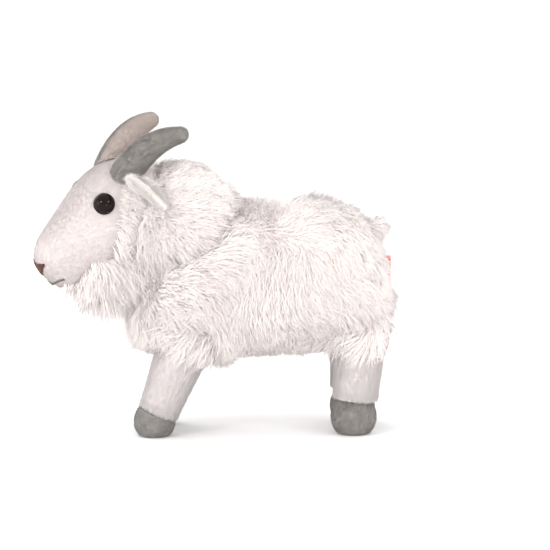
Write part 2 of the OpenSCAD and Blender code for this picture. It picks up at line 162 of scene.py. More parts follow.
def material(name, light, dark, scale, roughness, bump=0.0, bump_scale=900.0, sheen=0.0, attribute=None,
             root=None):
    """Cloth or thread: two tones in soft patches, with a fine bump. Given an attribute, a second colour takes
    over where it is low: painted shade at the roots of the long pile, and painted light on the inside of a
    horn.
    """
    made, tree, shader = nodes_of(name)
    new, link = tree.nodes.new, tree.links.new
    place = new("ShaderNodeTexCoord")
    patches = new("ShaderNodeTexNoise")
    patches.inputs["Scale"].default_value = scale
    patches.inputs["Detail"].default_value = 3
    link(place.outputs["Object"], patches.inputs["Vector"])
    spread = new("ShaderNodeMapRange")
    spread.inputs["From Min"].default_value, spread.inputs["From Max"].default_value = 0.35, 0.65
    link(patches.outputs["Fac"], spread.inputs["Value"])
    colour = mixed(tree, spread.outputs["Result"], light, dark)
    # painted light: where the attribute is low the root colour takes over, painted shade at the roots of a
    # pile and the painted paler inside of a horn
    if attribute:
        reach = new("ShaderNodeAttribute")
        reach.attribute_name = attribute
        colour = mixed(tree, reach.outputs["Fac"], root, colour)
    link(colour, shader.inputs["Base Color"])
    shader.inputs["Roughness"].default_value = roughness
    shader.inputs["Sheen Weight"].default_value = sheen
    shader.inputs["Sheen Roughness"].default_value = 0.5
    shader.inputs["Specular IOR Level"].default_value = 0.2
    if bump:
        grain = new("ShaderNodeTexNoise")
        grain.inputs["Scale"].default_value = bump_scale
        grain.inputs["Detail"].default_value = 4
        link(place.outputs["Object"], grain.inputs["Vector"])
        raised = new("ShaderNodeBump")
        raised.inputs["Strength"].default_value = bump
        raised.inputs["Distance"].default_value = 0.0006
        link(grain.outputs["Fac"], raised.inputs["Height"])
        link(raised.outputs["Normal"], shader.inputs["Normal"])
    return made


def glossy_plastic(name, colour, roughness, gloss_level=0.5):
    """Moulded plastic: one colour, with a faint cloud in its gloss."""
    made, tree, shader = nodes_of(name)
    new, link = tree.nodes.new, tree.links.new
    place = new("ShaderNodeTexCoord")
    cloud = new("ShaderNodeTexNoise")
    cloud.inputs["Scale"].default_value = 300
    link(place.outputs["Object"], cloud.inputs["Vector"])
    gloss = new("ShaderNodeMapRange")
    gloss.inputs["To Min"].default_value, gloss.inputs["To Max"].default_value = roughness, roughness + 0.06
    link(cloud.outputs["Fac"], gloss.inputs["Value"])
    link(gloss.outputs["Result"], shader.inputs["Roughness"])
    shader.inputs["Base Color"].default_value = rgba(colour)
    shader.inputs["Specular IOR Level"].default_value = gloss_level
    return made


def ribbon_weave(name, colour):
    """Woven ribbon: fine cross ribs."""
    made, tree, shader = nodes_of(name)
    new, link = tree.nodes.new, tree.links.new
    place = new("ShaderNodeTexCoord")
    ribs = new("ShaderNodeTexWave")
    ribs.bands_direction = "Z"
    ribs.inputs["Scale"].default_value = 700
    ribs.inputs["Distortion"].default_value = 0.6
    link(place.outputs["Object"], ribs.inputs["Vector"])
    link(mixed(tree, ribs.outputs["Fac"], [c * 0.72 for c in colour], colour), shader.inputs["Base Color"])
    raised = new("ShaderNodeBump")
    raised.inputs["Strength"].default_value = 0.5
    raised.inputs["Distance"].default_value = 0.0002
    link(ribs.outputs["Fac"], raised.inputs["Height"])
    link(raised.outputs["Normal"], shader.inputs["Normal"])
    shader.inputs["Roughness"].default_value = 0.55
    shader.inputs["Sheen Weight"].default_value = 0.3
    return made


# ---------- mesh helpers ----------

def unit(v):
    return v / np.maximum(np.linalg.norm(v, axis=-1, keepdims=True), 1e-12)


def dot(a, b):
    return (a * b).sum(-1, keepdims=True)


def arrays(mesh):
    """Points and triangles of a mesh."""
    co = np.empty(len(mesh.vertices) * 3)
    mesh.vertices.foreach_get("co", co)
    mesh.calc_loop_triangles()
    tri = np.empty(len(mesh.loop_triangles) * 3, np.int32)
    mesh.loop_triangles.foreach_get("vertices", tri)
    return co.reshape(-1, 3), tri.reshape(-1, 3)


def put_points(mesh, co):
    mesh.vertices.foreach_set("co", np.ascontiguousarray(co, np.float32).ravel())
    mesh.update()


def point_normals(co, tri):
    a, b, c = co[tri[:, 0]], co[tri[:, 1]], co[tri[:, 2]]
    face = np.cross(b - a, c - a)
    total = np.zeros_like(co)
    for corner in range(3):
        np.add.at(total, tri[:, corner], face)
    return unit(total)


def settled(obj):
    """Applies the modifiers of an object."""
    bpy.context.view_layer.update()
    graph = bpy.context.evaluated_depsgraph_get()
    mesh = bpy.data.meshes.new_from_object(obj.evaluated_get(graph))
    obj.modifiers.clear()
    obj.data = mesh
    return obj


def form(name, nodes, voxel_mm, rounds, swell_mm=0.0):
    """One closed skin round the named CAD nodes, rounded off, and swollen a little along its normals."""
    points, faces, base = [], [], 0
    for node in nodes:
        co, tri = arrays(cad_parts[node].data)
        points.append(co)
        faces.append(tri + base)
        base += len(co)
    mesh = bpy.data.meshes.new(name)
    mesh.from_pydata(np.concatenate(points).tolist(), [], np.concatenate(faces).tolist())
    obj = bpy.data.objects.new(name, mesh)
    scene.collection.objects.link(obj)
    voxels = obj.modifiers.new("voxels", "REMESH")
    voxels.mode, voxels.voxel_size, voxels.use_smooth_shade = "VOXEL", voxel_mm * MM, True
    even = obj.modifiers.new("even", "SMOOTH")
    even.factor, even.iterations = 0.5, rounds
    if swell_mm:
        puff = obj.modifiers.new("puff", "DISPLACE")
        puff.mid_level, puff.strength = 0.0, swell_mm * MM
    return settled(obj)


def stuffed(obj, cap_mm, pressure=4.0):
    """Cloth under the pressure of its filling, no point moved further than the cap."""
    rest = arrays(obj.data)[0]
    cloth = obj.modifiers.new("cloth", "CLOTH")
    cloth.settings.use_pressure = True
    cloth.settings.uniform_pressure_force = pressure
    cloth.settings.effector_weights.gravity = 0
    last_frame = 20
    cloth.point_cache.frame_start, cloth.point_cache.frame_end = 1, last_frame
    for step in range(1, last_frame + 1):
        scene.frame_set(step)
    graph = bpy.context.evaluated_depsgraph_get()
    blown = arrays(obj.evaluated_get(graph).data)[0]
    obj.modifiers.clear()
    scene.frame_set(1)
    move = blown - rest
    far = np.linalg.norm(move, axis=1, keepdims=True)
    put_points(obj.data, rest + move * np.minimum(1, cap_mm * MM / np.maximum(far, 1e-9)))
    return obj


def finer(obj, levels=1):
    more = obj.modifiers.new("finer", "SUBSURF")
    more.levels = more.render_levels = levels
    return settled(obj)


def show(obj, look, body, replaces=()):
    """Gives a piece its material, its body and the nodes it stands for."""
    obj.data.materials.clear()
    obj.data.materials.append(look)
    obj.data.polygons.foreach_set("use_smooth", np.ones(len(obj.data.polygons), bool))
    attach(obj, body)
    if replaces:
        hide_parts(*replaces)
    return obj


def mesh_from(name, points, loops, sizes, uv=None, reach=None):
    """Mesh from arrays: points, the corners of all faces in a row, and how many corners each face has."""
    mesh = bpy.data.meshes.new(name)
    mesh.vertices.add(len(points))
    mesh.vertices.foreach_set("co", np.ascontiguousarray(points, np.float32).ravel())
    mesh.loops.add(len(loops))
    mesh.loops.foreach_set("vertex_index", np.ascontiguousarray(loops, np.int32))
    mesh.polygons.add(len(sizes))
    starts = np.concatenate([[0], np.cumsum(sizes)[:-1]]).astype(np.int32)
    mesh.polygons.foreach_set("loop_start", starts)
    mesh.update(calc_edges=True)
    if uv is not None:
        layer = mesh.uv_layers.new(name="OFBake")
        layer.data.foreach_set("uv", np.ascontiguousarray(uv[loops], np.float32).ravel())
    if reach is not None:
        stored = mesh.attributes.new("reach", "FLOAT", "POINT")
        stored.data.foreach_set("value", np.ascontiguousarray(reach, np.float32))
    obj = bpy.data.objects.new(name, mesh)
    scene.collection.objects.link(obj)
    return obj


def tubes(name, paths, radii, facing, sides=3, lift_normals=0.0):
    """One closed, tapering tube along each path, ending in a point. paths is (tubes, steps, 3).
    lift_normals turns the shading towards the way each tube faces, so that fur lights as one surface."""
    count, steps = paths.shape[:2]
    tangent = unit(np.gradient(paths, axis=1))
    across = unit(np.cross(tangent, facing[:, None, :]))
    other = np.cross(tangent, across)
    turn = 2 * np.pi * np.arange(sides) / sides
    ring = (across[:, :-1, None, :] * np.cos(turn)[None, None, :, None]
            + other[:, :-1, None, :] * np.sin(turn)[None, None, :, None])
    body = paths[:, :-1, None, :] + ring * radii[:, :-1, None, None]
    each = (steps - 1) * sides + 1
    points = np.concatenate([body.reshape(count, -1, 3), paths[:, -1:, :]], 1).reshape(-1, 3)
    quads = [[j * sides + k, j * sides + (k + 1) % sides,
              (j + 1) * sides + (k + 1) % sides, (j + 1) * sides + k]
             for j in range(steps - 2) for k in range(sides)]
    last = (steps - 2) * sides
    tips = [[last + k, last + (k + 1) % sides, each - 1] for k in range(sides)]
    foot = [list(range(sides - 1, -1, -1))]
    flat = [v for face in quads + tips + foot for v in face]
    sizes = np.tile([len(face) for face in quads + tips + foot], count)
    loops = (np.arange(count)[:, None] * each + np.array(flat)[None, :]).ravel()
    v = np.concatenate([np.repeat(np.arange(steps - 1) / (steps - 1), sides), [1.0]])
    u = np.concatenate([np.tile(np.arange(sides) / sides, steps - 1), [0.5]])
    uv = np.stack([(np.arange(count)[:, None] + 0.1 + 0.8 * u[None, :]) / count,
                   np.tile(v, (count, 1))], -1).reshape(-1, 2)
    obj = mesh_from(name, points, loops, sizes, uv, np.tile(v, count))
    if lift_normals:
        out = np.concatenate([ring.reshape(count, -1, 3), tangent[:, -1:, :]], 1)
        out = unit(out * (1 - lift_normals) + facing[:, None, :] * lift_normals).reshape(-1, 3)
        obj.data.polygons.foreach_set("use_smooth", np.ones(len(sizes), bool))
        obj.data.normals_split_custom_set_from_vertices(out.astype(np.float32))
    return obj


# ---------- fur ----------

def scattered(co, tri, per_mm2, rng):
    """Random points on a surface, with their normals."""
    a, b, c = co[tri[:, 0]], co[tri[:, 1]], co[tri[:, 2]]
    area = 0.5 * np.linalg.norm(np.cross(b - a, c - a), axis=1)
    count = int(area.sum() * 1e6 * per_mm2)
    pick = rng.choice(len(tri), count, p=area / area.sum())
    u, v = rng.random((2, count, 1))
    over = u + v > 1
    u, v = np.where(over, 1 - u, u), np.where(over, 1 - v, v)
    normals = point_normals(co, tri)
    na, nb, nc = (normals[tri[pick, k]] for k in range(3))
    place = a[pick] * (1 - u - v) + b[pick] * u + c[pick] * v
    return place, unit(na * (1 - u - v) + nb * u + nc * v)


def drift(place, seed, wave_mm):
    """A smooth random vector field, for fur that strays in patches."""
    rng = np.random.default_rng(seed)
    total, waves = np.zeros_like(place), 5
    for _ in range(waves):
        way = rng.normal(size=(3, 3)) / (wave_mm * MM)
        total += np.sin(place @ way.T + rng.random(3) * 6.3)
    return total / 2.2


def nearest(points, targets):
    tree = KDTree(len(targets))
    for i, p in enumerate(targets):
        tree.insert(p, i)
    tree.balance()
    return np.array([tree.find(p)[1] for p in points])


def locks(root, normal, flow, length, lift, steps):
    """Centre lines that leave the skin at a lean and then fall in with the flow."""
    inward = np.minimum(dot(flow, normal) - 0.08, 0)
    along = unit(flow - inward * normal)
    t = np.linspace(0, 1, steps)[None, :, None]
    way = unit(normal[:, None] * lift[:, None, None] * (1 - t) ** 1.6 + along[:, None] * (0.3 + 0.7 * t))
    stride = way * (length / (steps - 1))[:, None, None]
    path = root[:, None] + np.cumsum(stride, 1)
    return path - stride[:, :1]


def long_fur(name, place, normal, flow, length_mm, look, body, seed, lift=1.0, radius_mm=0.17,
             clump=0.38, lock_size=26, curl_mm=2.0, steps=5, replaces=(), stray=0.6, facing=None):
    """Long pile: strands of length_mm that lie along the flow, gathered into curling locks.

    lift is how far they stand off the skin, lock_size the strands in a lock, clump how tightly a lock holds
    them, stray how far the flow wanders, and facing the way each strand is shaded, if not along the normal."""
    facing = normal if facing is None else facing
    rng = np.random.default_rng(seed)
    count = len(place)
    lift = np.broadcast_to(lift, count)
    chosen = rng.permutation(count)[:max(1, count // lock_size)]
    owner = nearest(place, place[chosen])
    wild = drift(place, seed + 1, 14) * stray
    flow = unit(unit(flow) + wild)
    lock_len = length_mm[chosen] * (0.8 + 0.45 * rng.random(len(chosen)) ** 2)
    lock_flow = unit(flow[chosen] + rng.normal(size=(len(chosen), 3)) * 0.38)
    spine = locks(place[chosen], normal[chosen], lock_flow, lock_len * MM, lift[chosen], steps)
    tangent = unit(np.gradient(spine, axis=1))
    across = unit(np.cross(tangent, normal[chosen][:, None]))
    other = np.cross(across, tangent)
    t = np.linspace(0, 1, steps)[None, :, None]
    turns = rng.uniform(0.6, 1.5, (len(chosen), 1, 1))
    turns = turns * np.where(rng.random((len(chosen), 1, 1)) < 0.5, 1, -1)
    angle = 2 * np.pi * (turns * t + rng.random((len(chosen), 1, 1)))
    size = curl_mm * MM * rng.uniform(0.4, 1.0, (len(chosen), 1, 1))
    spine = spine + (np.cos(angle) * across + np.sin(angle) * other) * size * np.minimum(1, 1.6 * t)
    length = lock_len[owner] * rng.uniform(0.75, 1.05, count)
    own = locks(place, normal, unit(flow + rng.normal(size=(count, 3)) * 0.38), length * MM, lift, steps)
    hold = clump * t ** 0.9
    target = spine[owner] + (own - spine[owner]) * 0.22
    path = own * (1 - hold) + target * hold
    path += rng.normal(size=path.shape) * 0.35 * MM * t
    thick = radius_mm * MM * rng.uniform(0.7, 1.25, (count, 1))
    taper = 1 - 0.75 * np.linspace(0, 1, steps)[None, :] ** 1.5
    made = []
    share = TRIANGLES_PER_PIECE // (6 * (steps - 2) + 4)
    groups = math.ceil(count / share)
    order = np.argsort(place[:, 1], kind="stable")
    for number, part in enumerate(np.array_split(order, groups)):
        label = name if groups == 1 else f"{name}_{number + 1}"
        obj = tubes(label, path[part], thick[part] * taper, facing[part], lift_normals=0.6)
        made.append(show(obj, look, body, replaces if number == 0 else ()))
    return made


def short_pile(name, obj, per_mm2, length_mm, width_mm, way, look, body, slot, seed, keep=None, lean=0.6,
               skin_share=1.0):
    """Short pile: a leaning fibre, a slim tetrahedron, at each of many points on a skin.

    way is the direction it leans in, or a function that gives it, keep chooses the points that get a fibre,
    and skin_share is how much of the shading follows the skin and not the fibre's own sides."""
    rng = np.random.default_rng(seed)
    co, tri = arrays(obj.data)
    place, normal = scattered(co, tri, per_mm2, rng)
    if keep is not None:
        chosen = keep(place / MM, normal)
        place, normal = place[chosen], normal[chosen]
    count = len(place)
    flow = np.asarray(way(place / MM, normal) if callable(way) else np.broadcast_to(way, place.shape), float)
    flow = flow - dot(flow, normal) * normal
    flow = unit(flow + drift(place, seed + 7, 9) * 0.25 + rng.normal(size=place.shape) * 0.25)
    tip = unit(normal + flow * lean) * (length_mm * MM * rng.uniform(0.6, 1.15, (count, 1)))
    across = unit(np.cross(normal, flow)) * width_mm * MM * 0.5
    ahead = unit(np.cross(across, normal)) * width_mm * MM * 0.5
    sunk = place - normal * 0.2 * MM
    points = np.stack([sunk + across, sunk - across, sunk + ahead * 1.6, place + tip], 1).reshape(-1, 3)
    shading = unit(np.stack([across, -across, ahead, normal * width_mm * MM * 0.5], 1)) * (1 - skin_share)
    shading = unit(shading + normal[:, None] * skin_share)
    flat = [0, 1, 3, 1, 2, 3, 2, 0, 3, 0, 2, 1]
    made = []
    groups = math.ceil(count / FIBRES_PER_PIECE)
    order = np.argsort(place[:, 1], kind="stable")
    for number, part in enumerate(np.array_split(order, groups)):
        label = name if groups == 1 else f"{name}_{number + 1}"
        n = len(part)
        mine = points.reshape(count, 4, 3)[part].reshape(-1, 3)
        loops = (np.arange(n)[:, None] * 4 + np.array(flat)[None, :]).ravel()
        u = (np.arange(n) + 0.5) / n
        uv = np.stack([np.stack([u - 0.3 / n, u + 0.3 / n, u, u], 1),
                       np.tile([0.0, 0.0, 0.0, 1.0], (n, 1))], -1).reshape(-1, 2)
        fibres = mesh_from(label, mine, loops, np.full(4 * n, 3), uv, np.tile([0.0, 0.0, 0.0, 1.0], n))
        fibres.data.polygons.foreach_set("use_smooth", np.ones(4 * n, bool))
        fibres.data.normals_split_custom_set_from_vertices(shading[part].reshape(-1, 3).astype(np.float32))
        made.append(show(fibres, look, body))
    return made


# ---------- looks ----------

# long pile: the root colour is a touch darker and warmer than the strands, painted shade for the depth of the
# pile
LONG = material("long_pile", (0.977, 0.91, 0.895), (0.967, 0.89, 0.87), 35, 0.9, sheen=0.2,
                attribute="reach", root=(0.975, 0.90, 0.87))
SHORT = material("short_pile", (0.75, 0.695, 0.69), (0.735, 0.68, 0.675), 40, 0.95, bump=0.1, sheen=0.15)
# the head's pile: the same cloth as the short pile, in a darker copy that is painted shade, taking down the
# light on the face
FACE_PAINTED_SHADE = material("face_pile_painted_shade", (0.70, 0.635, 0.625), (0.69, 0.625, 0.615), 40, 0.95, bump=0.1, sheen=0.15)
# skin under the long pile, a little darker than the pile: painted shade, the colour of the shade between the
# strands
BACKING_PAINTED_SHADE = material("pile_backing_painted_shade", (0.96, 0.91, 0.885), (0.94, 0.88, 0.85), 60, 0.95, bump=0.2)
# horns: grey cloth; the inside, where outer_side is low, takes the paler root colour, painted light for the
# backlight on the far horn
HORN = material("horn_pile", (0.28, 0.265, 0.245), (0.22, 0.205, 0.19), 130, 0.85, bump=0.4, sheen=0.15,
                attribute="outer_side", root=(0.49, 0.415, 0.38))
HOOF = material("hoof_pile", (0.285, 0.27, 0.255), (0.22, 0.205, 0.195), 160, 0.85, bump=0.4, sheen=0.15)
# the ears' pile: its own cream, made far paler than the head's pile as painted light over the shade on the
# ear's downward-facing outer side
EAR_PAINTED_LIGHT = material("ear_pile", (0.99, 0.945, 0.92), (0.98, 0.925, 0.89), 90, 0.9, bump=0.2, sheen=0.2)
LINING = material("ear_lining", (0.78, 0.69, 0.58), (0.70, 0.60, 0.49), 120, 0.9, bump=0.35, bump_scale=2200)
NOSE = material("nose_thread", (0.105, 0.032, 0.014), (0.062, 0.018, 0.008), 500, 0.45, bump=0.3,
                bump_scale=4000)
GREY_THREAD = material("grey_thread", (0.16, 0.16, 0.13), (0.10, 0.10, 0.085), 500, 0.6, bump=0.3,
                       bump_scale=4000)
WHITE_THREAD = material("white_thread", (0.82, 0.79, 0.76), (0.74, 0.70, 0.67), 500, 0.6, bump=0.3,
                        bump_scale=4000)
FILLING = material("filling", (0.93, 0.93, 0.91), (0.84, 0.84, 0.82), 80, 0.95, bump=0.5)
LABEL = ribbon_weave("label_ribbon", (0.76, 0.12, 0.10))
EYE = glossy_plastic("eye_gloss", (0.006, 0.002, 0.0015), 0.02, 0.17)
WASHER = glossy_plastic("eye_washer", (0.80, 0.80, 0.78), 0.45)


def cad_looks():
    """The CAD nodes that stay: the eyes, and what is sealed inside or needs no more than its finish."""
    for name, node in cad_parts.items():
        if "stuffing" in name:
            look = FILLING
        elif "washer" in name:
            look = WASHER
        elif name in ("eye_left", "eye_right"):
            look = EYE
        elif name == "closing_stitches":
            look = WHITE_THREAD
        elif name == "sewn_label":
            look = LABEL
        elif name.startswith(("fore_stitches", "hind_stitches")):
            look = GREY_THREAD
        else:
            look = SHORT
        node.data.materials.clear()
        node.data.materials.append(look)


# ---------- torso ----------

def outward(x, gain):
    return np.clip(x / 20, -1, 1) * gain


def torso_flow(p):
    """The way the long pile lies: back along the spine, down the flanks and the chest."""
    x, y, z = p.T
    up = np.clip((z - 100) / 28, 0, 1)
    front = np.clip((-20 - y) / 25, 0, 1)
    return np.stack([outward(x, 0.35), 0.35 + 0.75 * up - 0.35 * front, -1 + 0.75 * up], 1)


def torso():
    skin = form("torso_skin", ["torso_stuffing"], 3.0, 4, 0.6)
    skin = finer(stuffed(skin, 2.0))
    co, tri = arrays(skin.data)
    rng = np.random.default_rng(11)
    place, normal = scattered(co, tri, BODY_STRANDS, rng)
    p = place / MM
    # no pile grows inside the seats of the neck, the legs and the tail
    from_neck = np.linalg.norm(p - NECK_CENTRE, axis=1)
    clear = from_neck > NECK_SEAT
    for leg in LEGS.values():
        top, way = leg[:2]
        rel = p - top
        along = rel @ way
        off = np.linalg.norm(rel - along[:, None] * way, axis=1)
        clear &= ~((off < LEG_SEAT) & (along > -4)) & (np.linalg.norm(rel, axis=1) > HIP_SEAT)
    clear &= np.linalg.norm(p - TAIL_CENTRE, axis=1) > TAIL_SEAT
    # the pile parts round the label
    label_x, label_low, label_high, rump_y = 10, 80, 104, 84
    clear &= ((np.abs(p[:, 0] - label_x) > 3.5) | (p[:, 1] < rump_y)
              | (p[:, 2] < label_low) | (p[:, 2] > label_high))
    place, normal, p, from_neck = place[clear], normal[clear], p[clear], from_neck[clear]
    x, y, z = p.T
    up = np.clip(normal[:, 2], 0, 1)
    under = np.clip(-normal[:, 2] * 1.6 - 0.3, 0, 1)
    chest = np.clip((-25 - y) / 20, 0, 1)
    flank = np.clip((np.abs(x) - 22) / 8, 0, 1) * np.clip((95 - z) / 20, 0, 1)
    over_leg = flank * np.maximum(np.exp(-((y + 16) / 18) ** 2), np.exp(-((y - 76) / 14) ** 2))
    length = 13.5 - 2.5 * up - 7 * under - 2 * chest + 9 * over_leg
    # a longer tuft hangs behind the elbows, and the pile stands up round the neck
    length = length + 10 * under * np.exp(-((y - 1) / 7) ** 2)
    rim = np.clip(1 - (from_neck - 37) / 14, 0, 1)
    rim = rim * (1 - 0.8 * np.clip(normal[:, 2] * 1.5 - 0.3, 0, 1))
    length = length + 5 * rim
    lift = 0.95 - 0.25 * up + 0.9 * rim
    flow = torso_flow(p)
    belly = (normal[:, 2] < -0.55) & (np.abs(x) < 25)
    for name, node, here in (("torso_fur_left", "torso_cover_left", ~belly & (x >= 0)),
                             ("torso_fur_right", "torso_cover_right", ~belly & (x < 0)),
                             ("belly_fur", "belly_gusset", belly)):
        long_fur(name, place[here], normal[here], flow[here], length[here], LONG, "torso",
                 seed=len(name) + 100, lift=lift[here], replaces=(node,))
    # the skin shows between the strands in the painted shade colour
    show(skin, BACKING_PAINTED_SHADE, "torso")
    return BVHTree.FromPolygons(*[a.tolist() for a in (co, tri)])


# ---------- neck and mane ----------

def neck(torso_tree):
    skin = form("neck_skin", ["neck_stuffing"], 2.5, 3, 0.4)
    skin = finer(stuffed(skin, 1.0))
    co, tri = arrays(skin.data)
    rng = np.random.default_rng(21)
    place, normal = scattered(co, tri, BODY_STRANDS, rng)
    p = place / MM
    # nothing grows in the skull's seat, or inside the torso
    from_skull = np.linalg.norm(p - SKULL_CENTRE, axis=1)
    clear = (from_skull > SKULL_SEAT) & (np.linalg.norm(p - NECK_CENTRE, axis=1) > 30)
    place, normal, p, from_skull = place[clear], normal[clear], p[clear], from_skull[clear]
    x, y, z = p.T
    from_face = unit(p - SKULL_CENTRE)
    low = np.clip((112 - z) / 18, 0, 1)
    ruff = np.clip(1 - (from_skull - SKULL_SEAT) / 12, 0, 1)
    flow = (from_face * (0.45 - 0.45 * ruff)[:, None]
            + np.stack([outward(x, 0.15), 0.45 - 0.5 * low - 0.3 * ruff, -0.75 - 0.3 * low], 1))
    top = np.clip(normal[:, 2], 0, 1)
    length = 12.5 - 2.0 * top + 3.0 * low + 7 * low * np.clip((-20 - y) / 15, 0, 1)
    # at the edge of the body the mane feathers out over it
    gap = np.array([torso_tree.find_nearest(Vector(point))[3] for point in place]) / MM
    edge = np.clip(1 - gap / 16, 0, 1)
    length = length + 5 * edge - 3 * top * np.clip((y + 20) / 15, 0, 1)
    lift = 0.9 - 0.6 * edge + 0.5 * ruff
    for side, here in (("left", x >= 0), ("right", x < 0)):
        long_fur(f"mane_{side}", place[here], normal[here], flow[here], length[here], LONG, "neck",
                 seed=200 + (side == "left"), lift=lift[here], replaces=(f"neck_cover_{side}",))
    show(skin, BACKING_PAINTED_SHADE, "neck")


# ---------- head ----------

HEAD_ROLL, HEAD_YAW = math.radians(6), math.radians(18)
EYE_PLACE = (21.9, -15.7, 5.4)


def at_head(v):
    """From the head's own frame, in millimetres, to the row frame."""
    roll, yaw = HEAD_ROLL, HEAD_YAW
    v = np.asarray(v, float)
    x = v[..., 0] * math.cos(roll) + v[..., 2] * math.sin(roll)
    z = -v[..., 0] * math.sin(roll) + v[..., 2] * math.cos(roll)
    y = v[..., 1]
    return np.stack([x * math.cos(yaw) - y * math.sin(yaw),
                     x * math.sin(yaw) + y * math.cos(yaw) + SKULL_CENTRE[1],
                     z + SKULL_CENTRE[2]], -1)


def head_way(v):
    return at_head(v) - at_head([0, 0, 0])


def in_head(p):
    """From the row frame to the head's own frame, in millimetres."""
    axes = np.stack([head_way([1, 0, 0]), head_way([0, 1, 0]), head_way([0, 0, 1])])
    return (np.asarray(p) - SKULL_CENTRE) @ axes.T


def on_skin(tree, start_mm, way):
    """First point of a skin on the way from a start, in metres, and its normal."""
    hit, normal, _, _ = tree.ray_cast(Vector(start_mm) * MM, Vector(way))
    return (np.array(hit), np.array(normal)) if hit else (None, None)


def twisted(name, path, radius_mm, plies, pitch_mm, look, body, replaces=()):
    """Twisted thread along a path, in metres."""
    path = np.asarray(path)
    step = np.linalg.norm(np.diff(path, axis=0), axis=1)
    reach = np.concatenate([[0], np.cumsum(step)])
    count = max(8, int(reach[-1] / (0.25 * MM)))
    even = np.linspace(0, reach[-1], count)
    line = np.stack([np.interp(even, reach, path[:, k]) for k in range(3)], 1)
    tangent = unit(np.gradient(line, axis=0))
    facing = unit(np.cross(tangent, [0.31, 0.22, 0.92]))
    across = unit(np.cross(tangent, facing))
    made = []
    for ply in range(plies):
        angle = (2 * np.pi * (even / (pitch_mm * MM) + ply / plies))[:, None]
        wound = line + (np.cos(angle) * facing + np.sin(angle) * across) * radius_mm * 0.5 * MM
        made.append(wound)
    paths = np.stack(made)
    radii = np.full(paths.shape[:2], radius_mm * 0.62 * MM)
    radii[:, :2] *= [0.5, 0.8]
    obj = tubes(name, paths, radii, np.tile(facing[:1], (plies, 1)), sides=6)
    return show(obj, look, body, replaces)


def head():
    skin = form("head_skin", ["head_cover_left", "head_cover_right", "forehead_gusset", "chin_gusset",
                              "head_stuffing"], 1.3, 4, -0.5)
    skin = finer(stuffed(skin, 0.4))
    tree = BVHTree.FromPolygons(*[a.tolist() for a in arrays(skin.data)])

    def way(p, normal):
        return np.tile(head_way([0, 1, 0.35]), (len(p), 1))

    eyes = [at_head([side * EYE_PLACE[0], *EYE_PLACE[1:]]) for side in (1, -1)]
    eye_rim = 6.6
    rim_axis = unit(SKULL_CENTRE - NECK_CENTRE)

    def keep(p, normal):
        open_face = np.ones(len(p), bool)
        for eye in eyes:
            open_face &= np.linalg.norm(p - eye, axis=1) > eye_rim
        inside_neck = (p - NECK_CENTRE) @ rim_axis < 16
        return open_face & ~inside_neck

    # the pile lengthens behind the cheeks, and runs into the mane
    rng = np.random.default_rng(33)
    place, normal = scattered(*arrays(skin.data), CHEEK_STRANDS, rng)
    at = in_head(place / MM)
    behind = at[:, 1] + 0.25 * np.abs(at[:, 0]) - 0.10 * at[:, 2] + 1
    here = behind > -2 + 4 * rng.random(len(at))
    here &= (place / MM - NECK_CENTRE) @ rim_axis > 17
    place, normal, behind, at = place[here], normal[here], behind[here], at[here]
    throat = np.clip((-5 - at[:, 2]) / 15, 0, 1)
    length = (np.clip(4 + 0.9 * behind, 3, 13) + 9 * throat) * rng.uniform(0.8, 1.1, len(place))
    flow = np.tile(head_way([0, 0.75, -0.5]), (len(place), 1)) + throat[:, None] * [0, 0, -0.5]
    facing = unit(normal + head_way([1, 0, 0]) * (at[:, :1] / 14) * throat[:, None])
    long_fur("cheek_fur", place, normal, flow, length, LONG, "head", 34, facing=facing,
             lift=0.6 + 0.5 * throat, curl_mm=1.2)

    # the face wears the darker copy of the short pile: painted shade
    short_pile("head_pile", skin, *FACE_PILE, way, FACE_PAINTED_SHADE, "head", "short_pile", 31, keep, lean=1.1,
               skin_share=0.6)
    show(skin, FACE_PAINTED_SHADE, "head",
         replaces=("head_cover_left", "head_cover_right", "forehead_gusset", "chin_gusset"))

    # nose: two layers of satin stitches, down the face of a rounded triangle
    rng = np.random.default_rng(41)
    nose_x, nose_z, half_width, pitch = 1.2, -33.6, 6.6, 0.42
    paths, facing = [], []
    for layer in range(2):
        for x in np.arange(-half_width, half_width + 0.1, pitch):
            x = x + 0.2 * layer
            top = 2.2 + 0.2 * abs(x) + rng.uniform(-0.3, 0.35)
            low = -4.3 + 1.1 * max(abs(x) - 0.9, 0) + rng.uniform(-0.2, 0.2)
            if top - low < 0.8:
                continue
            row, out = [], None
            for u in np.linspace(0, 1, 9):
                at = [nose_x + x * 1.12 * (1 - 0.1 * u), -75, nose_z + top + (low - top) * u]
                hit, normal = on_skin(tree, at_head(at), head_way([0, 1, 0]))
                if hit is None:
                    break
                out = normal if out is None else out
                row.append(hit + normal * (0.25 + 0.5 * math.sin(math.pi * u) ** 0.5 + 0.12 * layer) * MM)
            if len(row) == 9:
                paths.append(row)
                facing.append(out)
    paths = np.array(paths)
    thread = 0.30 * MM
    nose = tubes("nose_threads", paths, np.full(paths.shape[:2], thread), np.array(facing), sides=6)
    show(nose, NOSE, "head", replaces=("nose_embroidery",))

    # mouth: one twisted thread from cheek to cheek, through these x and z in the head's frame
    line = []
    corners = np.array([[-12, -38], [-9, -40], [-5, -41.8], [0, -43.4], [5, -41.8], [9, -40], [12, -38]])
    for u in np.linspace(0, 6, 61):
        i = min(int(u), 5)
        x, z = corners[i] * (1 - (u - i)) + corners[i + 1] * (u - i)
        hit, normal = on_skin(tree, at_head([x, -80, z]), head_way([0, 1, 0]))
        if hit is not None:
            line.append(hit + normal * 0.8 * MM)
    twisted("mouth_thread", line, 0.46, 2, 2.2, GREY_THREAD, "head", ("mouth_embroidery",))
    return tree


